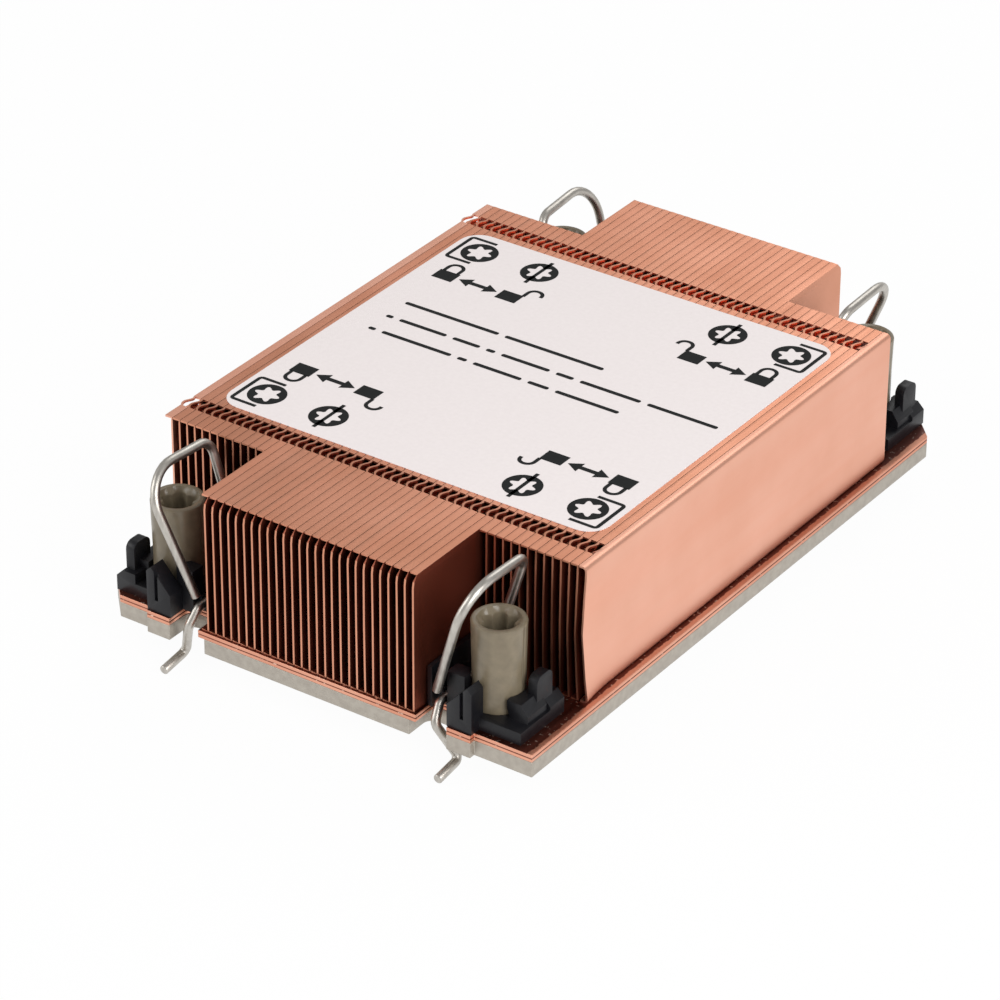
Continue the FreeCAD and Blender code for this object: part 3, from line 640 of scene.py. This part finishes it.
def tube(path, radius, sides=20):
    """A circle carried along a path: p(s, a) = c(s) + r (cos a u + sin a v), with low domed ends.
    u is handed on from point to point and made square to the wire again, so it never twists.
    Each dome ends in a tiny ring, so that no two points fall together."""
    forward = np.gradient(path, axis=0)
    forward /= np.linalg.norm(forward, axis=1, keepdims=True)
    first = np.cross(forward[0], (0.0, 0.0, 1.0))
    if np.linalg.norm(first) < 0.1:
        first = np.cross(forward[0], (1.0, 0.0, 0.0))
    across = [first / np.linalg.norm(first)]
    for direction in forward[1:]:
        square = across[-1] - direction * (across[-1] @ direction)
        across.append(square / np.linalg.norm(square))
    across = np.array(across)
    upward = np.cross(forward, across)
    cap = np.linspace(0, math.pi / 2, 5)[:-1]
    shrink = np.concatenate([np.sin(cap), np.ones(len(path)), np.sin(cap)[::-1]])
    extra = np.concatenate([-np.cos(cap), np.zeros(len(path)), np.cos(cap)[::-1]])
    take = np.pad(np.arange(len(path)), len(cap), mode="edge")
    shrink[[0, -1]] = 0.05
    angle = np.linspace(0, 2 * math.pi, sides, endpoint=False)[None, :, None]
    ring = np.cos(angle) * across[take][:, None] + np.sin(angle) * upward[take][:, None]
    centre = path[take] + forward[take] * extra[:, None] * radius * END_DOME
    points = centre[:, None] + ring * (shrink * radius)[:, None, None]
    return points.reshape(-1, 3), ring_faces(len(take), sides)


# %% The four bails
for corner, x_side, y_side in corners:
    hinge = np.abs(np.array(hinges[f"bail_{corner}_swing"]["pos_m"])) / MM
    path = rounded_path(bail_corners(hinge[0], hinge[2]), BEND_RADII, BEND_STEPS)
    path = path[np.concatenate([[True], np.linalg.norm(np.diff(path, axis=0), axis=1) > 1e-4])]
    points, faces = tube(path * (x_side, -y_side, 1), WIRE_RADIUS)
    bail = add_piece(f"bail_{corner}_wire", points, faces, wire_steel, f"bail_{corner}_body")
    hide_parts("bail_" + corner)

# %% [markdown]
# ## The captive nuts
# A nut is moulded round a threaded core: a flange, a barrel that widens a little towards the top
# and a six-lobe socket. One surface does it all. Its profile runs up the outside, over the rim and
# down the socket, and inside the socket the radius swings six times round.

# %% Nut sizes and surface
nut_low, nut_high = node_box("nut_front_right")
nut_flange = (nut_high[0] - nut_low[0]) / 2
SOCKET_TIP = 2.85
SOCKET_WAIST = 2.05
SOCKET_DEEP = 6.0
PARTING_DEEP = 0.09
PARTING_ANGLE = math.radians(7.5)


def nut_surface(steps=144):
    """p(a, k) = (R_k(a) cos a, R_k(a) sin a, z_k), R_k(a) = r_k + w_k s(a), where s swings six
    times between 0 at a waist and 1 at a lobe and w_k is the lobes' reach at that level. Each row
    of the profile is (r_k, z_k, w_k), up the outside and down the socket. The barrel has a fine
    groove g exp(-(sin(a - b) / 0.06)^2) on each side where the mould's halves met."""
    low, top = nut_low[2], nut_high[2]
    reach = SOCKET_TIP - SOCKET_WAIST
    floor = top - SOCKET_DEEP
    profile = np.array([
        (0.01, low, 0), (nut_flange - 0.15, low, 0), (nut_flange, low + 0.15, 0),
        (nut_flange, low + 0.85, 0), (nut_flange - 0.15, low + 1.0, 0), (3.77, low + 1.0, 0),
        (3.75, low + 1.1, 0), (3.82, (low + top) / 2, 0), (3.97, top - 0.9, 0), (4.0, top - 0.35, 0),
        (3.93, top - 0.13, 0), (3.75, top, 0), (3.3, top, 0), (3.14, top - 0.06, 0),
        (2.9, top - 0.35, 0.15), (SOCKET_WAIST + 0.12, top - 0.75, reach * 0.9),
        (SOCKET_WAIST, top - 1.0, reach), (SOCKET_WAIST, floor + 0.3, reach),
        (SOCKET_WAIST - 0.2, floor, reach * 0.7), (0.01, floor - 0.1, 0)])
    angle = np.linspace(0, 2 * math.pi, steps, endpoint=False)
    lobe = (0.5 + 0.5 * np.cos(6 * angle)) ** 0.8
    radius = profile[:, 0][:, None] + profile[:, 2][:, None] * lobe[None, :]
    groove = PARTING_DEEP * np.exp(-(np.sin(angle - PARTING_ANGLE) / 0.06) ** 2)
    barrel = (profile[:, 0] > 3.7) & (profile[:, 1] < top - 0.2) & (profile[:, 1] > low + 1.05)
    radius -= barrel[:, None] * groove[None, :]
    level = np.broadcast_to(profile[:, 1][:, None], radius.shape)
    points = np.stack([radius * np.cos(angle), radius * np.sin(angle), level], -1)
    return points.reshape(-1, 3), ring_faces(len(profile), steps)


# %% The four nuts
nut_points, nut_faces = nut_surface()
for corner, _, _ in corners:
    low, high = node_box("nut_" + corner)
    centre = (low + high) / 2
    points = nut_points + (centre[0], centre[1], 0)
    nut = add_piece(f"nut_{corner}_moulded", points, nut_faces, nut_polymer, f"nut_{corner}_body", crease=35)
    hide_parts("nut_" + corner)

# %% [markdown]
# ## The label
# The label is a rectangle of coated paper with round corners. It carries the same four groups of
# pictograms, mirrored into its corners: which way each bail swings and what drives the nuts. They
# are thin shapes of ink on the paper. The lines of print are left as plain strokes.

# %% Flat shapes
LABEL_ROUND = 3.5
INK_LIFT = 0.012
INK_THICK = 0.02
LINE_WIDE = 0.6


def at_level(curve, level):
    """A flat curve's points (x, y) as (x, y, level)."""
    return np.column_stack([curve, np.full(len(curve), level)])


def flat_prism(outline, low, thickness):
    """A closed plate with the same outline below and above."""
    points = np.vstack([at_level(outline, low), at_level(outline, low + thickness)])
    count = len(outline)
    below = np.arange(count)
    faces = [tuple(below[::-1]), tuple(below + count)]
    after = np.roll(below, -1)
    faces += [tuple(face) for face in np.stack([below, after, after + count, below + count], -1)]
    return points, faces


def rounded_rectangle(low, high, radius, steps=8):
    """The outline of a rectangle with quarter-circle corners, anticlockwise:
    p(a) = centre + r (cos a, sin a), a quarter turn about each corner's own centre."""
    angle = np.linspace(0, math.pi / 2, steps)
    right, top = high[0] - radius, high[1] - radius
    left, bottom = low[0] + radius, low[1] + radius
    parts = []
    for quarter, (x, y) in enumerate(((right, top), (left, top), (left, bottom), (right, bottom))):
        turned = angle + quarter * math.pi / 2
        parts.append(np.column_stack([x + radius * np.cos(turned), y + radius * np.sin(turned)]))
    return np.vstack(parts)


def stroke(path, width):
    """The outline of a band of the given width along an open path."""
    path = np.asarray(path, float)
    forward = np.gradient(path, axis=0)
    forward /= np.linalg.norm(forward, axis=1, keepdims=True)
    side = np.column_stack([-forward[:, 1], forward[:, 0]]) * width / 2
    return np.vstack([path - side, (path + side)[::-1]])


def star_ring(radius, waist, tip, steps=72):
    """A dark disc with a six-lobe window w(a) = waist + (tip - waist) s(a)^1.2, where s swings six
    times between 0 and 1. Four rings of points: outer and inner, below and then above."""
    angle = np.linspace(0, 2 * math.pi, steps, endpoint=False)
    window = waist + (tip - waist) * (0.5 + 0.5 * np.cos(6 * angle)) ** 1.2
    outer, inner = (np.column_stack([reach * np.cos(angle), reach * np.sin(angle)])
                    for reach in (radius, window))
    points = np.vstack([at_level(curve, level) for level in (0, INK_THICK) for curve in (outer, inner)])
    here = np.arange(steps) + np.arange(4)[:, None] * steps
    after = np.roll(here, -1, axis=1)
    outer_low, inner_low, outer_top, inner_top = range(4)
    faces = np.vstack([np.stack((here[a], after[a], after[b], here[b]), -1) for a, b in (
        (outer_top, inner_top), (inner_low, outer_low), (outer_low, outer_top), (inner_top, inner_low))])
    return points, [tuple(face) for face in faces]


# %% Pictograms, drawn for the back-right corner of the label
BRACKET_SOCKET_X = 28.1
LINE_SOCKET_X = 17.0
SOCKET_Y = 26.9
SHUT_LOCK_X = 28.1
OPEN_LOCK_X = 16.4
LOCK_LOW = 16.6
LOCK_TOP = 19.3
LOCK_HALF = 1.8
HOOP_TOP = 21.7
ARROW_X = 22.25
ARROW_Y = 18.1
ARROW_HALF = 3.5
ARROW_HEAD = (2.1, 1.25)
ARROW_SHAFT = 0.42


def pictograms():
    """A socket in a bracket and one with a line across it, and below them a shut and an open
    padlock with a two-headed arrow between."""
    shapes = []

    def ink(outline):
        """Adds one flat shape."""
        shapes.append(flat_prism(np.asarray(outline, float), 0, INK_THICK))

    for x in (BRACKET_SOCKET_X, LINE_SOCKET_X):
        points, faces = star_ring(2.95, 1.35, 2.15)
        shapes.append((points + (x, SOCKET_Y, 0), faces))
    bracket = rounded_path([(27.4, 30.6), (31.9, 30.6), (31.9, 23.3), (27.4, 23.3)], [0.5, 0.5], 4)
    ink(stroke(bracket, LINE_WIDE))
    ink(stroke([(LINE_SOCKET_X, 23.0), (LINE_SOCKET_X, 30.6)], LINE_WIDE))

    # A hoop's two feet, each an offset from the padlock's middle and a height, and its bends.
    foot = LOCK_TOP - 0.1
    shut = (SHUT_LOCK_X, ((-1.25, foot), (1.25, foot)), 1.2)
    ajar = (OPEN_LOCK_X, ((-1.7, foot), (-4.1, 20.3)), 1.15)
    for x, ((near, near_foot), (far, far_foot)), bend in (shut, ajar):
        ink([(x - LOCK_HALF, LOCK_LOW), (x + LOCK_HALF, LOCK_LOW), (x + LOCK_HALF, LOCK_TOP),
             (x - LOCK_HALF, LOCK_TOP)])
        hoop = rounded_path([(x + near, near_foot), (x + near, HOOP_TOP), (x + far, HOOP_TOP),
                             (x + far, far_foot)], [bend, bend])
        ink(stroke(hoop, LINE_WIDE))

    neck = ARROW_HALF - ARROW_HEAD[0]
    upper = [(-ARROW_HALF, 0), (-neck, ARROW_HEAD[1]), (-neck, ARROW_SHAFT), (neck, ARROW_SHAFT),
             (neck, ARROW_HEAD[1])]
    arrow = np.array(upper + [(-x, -y) for x, y in upper])
    ink(arrow + (ARROW_X, ARROW_Y))
    return joined(shapes)


# Lines of print as plain strokes: a height on the label, then how long each word is.
PRINT_LINES = ((6.8, (17.0, 17.5)), (1.9, (1.2, 8.5, 4.8, 1.5, 8.5, 3.0, 10.5, 12.0)),
               (-2.6, (1.2, 12.5, 1.6, 8.5, 3.6, 11.0)))
PRINT_LEFT = -28
WORD_GAP = 1.25
WORD_TALL = 0.75


def print_strokes():
    """Every word of the print as one bar of ink. Bars follow each other from the left."""
    shapes = []
    for level, words in PRINT_LINES:
        starts = PRINT_LEFT + np.cumsum([0] + [word + WORD_GAP for word in words[:-1]])
        for start, word in zip(starts, words):
            bar = rounded_rectangle((start, level - WORD_TALL / 2), (start + word, level + WORD_TALL / 2),
                                    0.3, 4)
            shapes.append(flat_prism(bar, label_high[2] + INK_LIFT, INK_THICK))
    return shapes


# %% The label and its ink
label_outline = rounded_rectangle(label_low[:2], label_high[:2], LABEL_ROUND)
points, faces = flat_prism(label_outline, label_low[2], label_high[2] - label_low[2])
label = add_piece("label_paper", points, faces, label_paper, "heatsink", smooth=False)
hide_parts("label")

label_middle = (label_low + label_high) / 2
groups = []
for x_side in (-1, 1):
    for y_side in (-1, 1):
        points, faces = pictograms()
        if x_side * y_side < 0:
            faces = [face[::-1] for face in faces]
        points = points * (x_side, y_side, 1) + (0, label_middle[1], label_high[2] + INK_LIFT)
        groups.append((points, faces))
points, faces = joined(groups + print_strokes())
ink_piece = add_piece("label_pictograms", points, faces, label_ink, "heatsink", smooth=False)
print("label", label_high - label_low)

# %% [markdown]
# ## Stage, light and camera
# A plain white studio: a pale floor under the bails' feet, a large soft lamp from each side and
# a long lens. The floor keeps the shadow, and the camera and reflections see it white.

# %% Stage
# The floor reaches this far each way, in metres. It lies FLOOR_GAP millimetres below the part.
FLOOR_HALF = 2
FLOOR_GAP = 0.2
FLOOR_SEEN = 0.96
WORLD_STRENGTH = 0.47
floor_level = cad_low[2] - FLOOR_GAP * MM


def white_stage(name, seen_share):
    """A diffuse white that camera, glossy and transmission rays see as nearly plain white."""
    material = bpy.data.materials.new(name)
    material.use_nodes = True
    tree = material.node_tree
    shader = tree.nodes["Principled BSDF"]
    shader.inputs["Base Color"].default_value = (0.9, 0.9, 0.9, 1)
    shader.inputs["Roughness"].default_value = 0.9
    rays = tree.nodes.new("ShaderNodeLightPath")
    glow = tree.nodes.new("ShaderNodeEmission")
    glow.inputs["Strength"].default_value = 1.0
    seen = rays.outputs["Is Camera Ray"]
    for other in ("Is Glossy Ray", "Is Transmission Ray"):
        seen = sums(tree, "MAXIMUM", seen, rays.outputs[other])
    mix = tree.nodes.new("ShaderNodeMixShader")
    tree.links.new(sums(tree, "MULTIPLY", seen, seen_share), mix.inputs[0])
    tree.links.new(shader.outputs[0], mix.inputs[1])
    tree.links.new(glow.outputs[0], mix.inputs[2])
    tree.links.new(mix.outputs[0], tree.nodes["Material Output"].inputs["Surface"])
    return material


floor_mesh = bpy.data.meshes.new("floor")
floor_corners = [(x * FLOOR_HALF, y * FLOOR_HALF, floor_level)
                 for x, y in ((-1, -1), (1, -1), (1, 1), (-1, 1))]
floor_mesh.from_pydata(floor_corners, [], [(0, 1, 2, 3)])
floor_mesh.materials.append(white_stage("floor_white", FLOOR_SEEN))
floor = bpy.data.objects.new("floor", floor_mesh)
bpy.context.scene.collection.objects.link(floor)
floor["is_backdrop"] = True

world = bpy.data.worlds.new("studio")
bpy.context.scene.world = world
world.use_nodes = True
background = world.node_tree.nodes["Background"]
background.inputs["Color"].default_value = (1, 1, 1, 1)
background.inputs["Strength"].default_value = WORLD_STRENGTH

# %% Lamps
LAMP_SIZE = 350


def soft_lamp(name, place, power):
    """A square lamp that faces the object's middle. Places are in millimetres, power in watts."""
    lamp = bpy.data.lights.new(name, "AREA")
    lamp.shape = "SQUARE"
    lamp.size = LAMP_SIZE * MM
    lamp.energy = power
    item = bpy.data.objects.new(name, lamp)
    bpy.context.scene.collection.objects.link(item)
    item.location = np.array(place) * MM
    item.rotation_euler = (-item.location).to_track_quat("-Z", "Y").to_euler()


soft_lamp("key", (450, -220, 260), 2.1)
soft_lamp("fill", (-350, -350, 250), 0.95)
soft_lamp("back", (-60, 450, 420), 0.7)

# %% Camera
CAMERA_PLACE = (336.554, -494.788, 361.518)
CAMERA_FORWARD = (-0.48861, 0.70599, -0.51267)
CAMERA_RIGHT = (0.82098, 0.57095, 0.0038)
CAMERA_LENS = 168.42

camera_data = bpy.data.cameras.new("camera")
camera_data.sensor_width = 36
camera_data.lens = CAMERA_LENS
camera_data.clip_start = 0.01
camera = bpy.data.objects.new("camera", camera_data)
bpy.context.scene.collection.objects.link(camera)
right = Vector(CAMERA_RIGHT).normalized()
forward = Vector(CAMERA_FORWARD).normalized()
up = right.cross(forward).normalized()
turn = Matrix((right, up, -forward)).transposed()
camera.matrix_world = Matrix.Translation(Vector(CAMERA_PLACE) * MM) @ turn.to_4x4()
bpy.context.scene.camera = camera
bpy.context.scene.view_settings.view_transform = "Standard"
